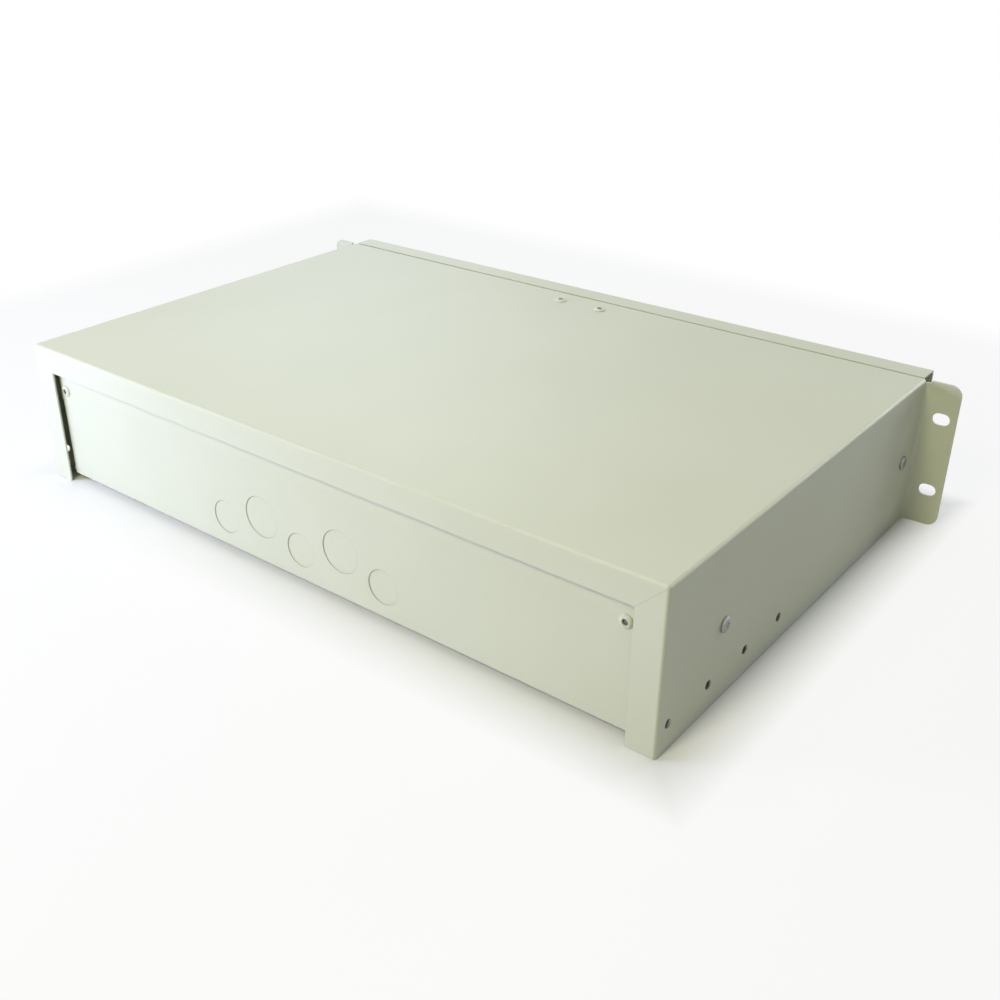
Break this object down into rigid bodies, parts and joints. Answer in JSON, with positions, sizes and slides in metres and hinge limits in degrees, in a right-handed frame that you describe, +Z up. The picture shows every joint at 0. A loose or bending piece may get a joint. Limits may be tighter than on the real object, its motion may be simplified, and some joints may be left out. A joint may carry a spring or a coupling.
{
  "type": "fiber termination box",
  "caption": "Rack-mount drawer box for ending fiber cables: folded sheet shell with rack ears, sliding splice and patch drawer on ball slides, fold-down front door and rear cable knockouts.",
  "frame": {"origin": "bottom centre of the whole box", "axes": "+X across the box to the right seen from the front, +Y from the door to the rear wall, +Z up"},
  "size_m": [0.4826, 0.2978, 0.0894],
  "materials": {
    "light_grey_paint": "matt light grey powder coat with a warm green tint",
    "zinc_steel": "bright zinc plate",
    "white_plastic": "moulded satin",
    "clear_plastic": "clear polycarbonate sheet",
    "cap_plastic": "soft moulded caps",
    "blue_plastic": "moulded adapters",
    "black_plastic": "moulded, fine grain",
    "ferrite": "dull ferrite block"
  },
  "bodies": {
    "shell": {"outer_shell": "light_grey_paint", "magnetic_catch": "white_plastic", "catch_magnet": "ferrite", "catch_rivet_left": "light_grey_paint", "catch_rivet_right": "light_grey_paint", "slide_outer_left": "zinc_steel", "slide_outer_right": "zinc_steel", "slide_screw_left_front": "zinc_steel", "slide_screw_left_rear": "zinc_steel", "slide_screw_right_front": "zinc_steel", "slide_screw_right_rear": "zinc_steel"},
    "ball_cages": {"ball_cage_left": "zinc_steel", "ball_cage_right": "zinc_steel"},
    "drawer": {"drawer_tray": "light_grey_paint", "rear_rivet_left": "light_grey_paint", "rear_rivet_right": "light_grey_paint", "slide_inner_left": "zinc_steel", "slide_inner_right": "zinc_steel", "rail_screw_left_front": "zinc_steel", "rail_screw_left_rear": "zinc_steel", "rail_screw_right_front": "zinc_steel", "rail_screw_right_rear": "zinc_steel", "adapter_panel": "light_grey_paint", "panel_screw_left": "zinc_steel", "panel_screw_right": "zinc_steel", "adapter_1": "blue_plastic", "adapter_2": "blue_plastic", "adapter_3": "blue_plastic", "adapter_4": "blue_plastic", "adapter_5": "blue_plastic", "adapter_6": "blue_plastic", "dust_cap_1": "cap_plastic", "dust_cap_2": "cap_plastic", "dust_cap_3": "cap_plastic", "dust_cap_4": "cap_plastic", "dust_cap_5": "cap_plastic", "dust_cap_6": "cap_plastic", "splice_tray_lower": "white_plastic", "splice_tray_upper": "white_plastic", "splice_tray_cover": "clear_plastic", "tray_post": "zinc_steel", "tray_thumb_nut": "black_plastic", "fiber_spool_left": "white_plastic", "fiber_spool_right": "white_plastic", "cable_anchor": "zinc_steel", "anchor_screw_left": "zinc_steel", "anchor_screw_right": "zinc_steel", "strength_clamp_left": "zinc_steel", "strength_clamp_right": "zinc_steel", "clamp_screw_left": "zinc_steel", "clamp_screw_right": "zinc_steel", "cord_guide_left": "black_plastic", "cord_guide_right": "black_plastic", "hinge_pin_left": "zinc_steel", "hinge_pin_right": "zinc_steel"},
    "door": {"front_door": "light_grey_paint", "hinge_lug_left": "zinc_steel", "hinge_lug_right": "zinc_steel", "catch_strike": "zinc_steel", "door_pull": "black_plastic"}
  },
  "joints": [
    {"name": "drawer_slide", "type": "slide", "parent": "shell", "child": "drawer", "axis": [0, -1, 0], "range_m": [0, 0.17]},
    {"name": "cage_slide", "type": "slide", "parent": "shell", "child": "ball_cages", "axis": [0, -1, 0], "range_m": [0, 0.085]},
    {"name": "door_hinge", "type": "hinge", "parent": "drawer", "child": "door", "pos_m": [0, -0.13925, 0.01], "axis": [1, 0, 0], "range_deg": [0, 90]}
  ],
  "couplings": [
    {"joint": "cage_slide", "follows": "drawer_slide", "ratio": 0.5}
  ]
}
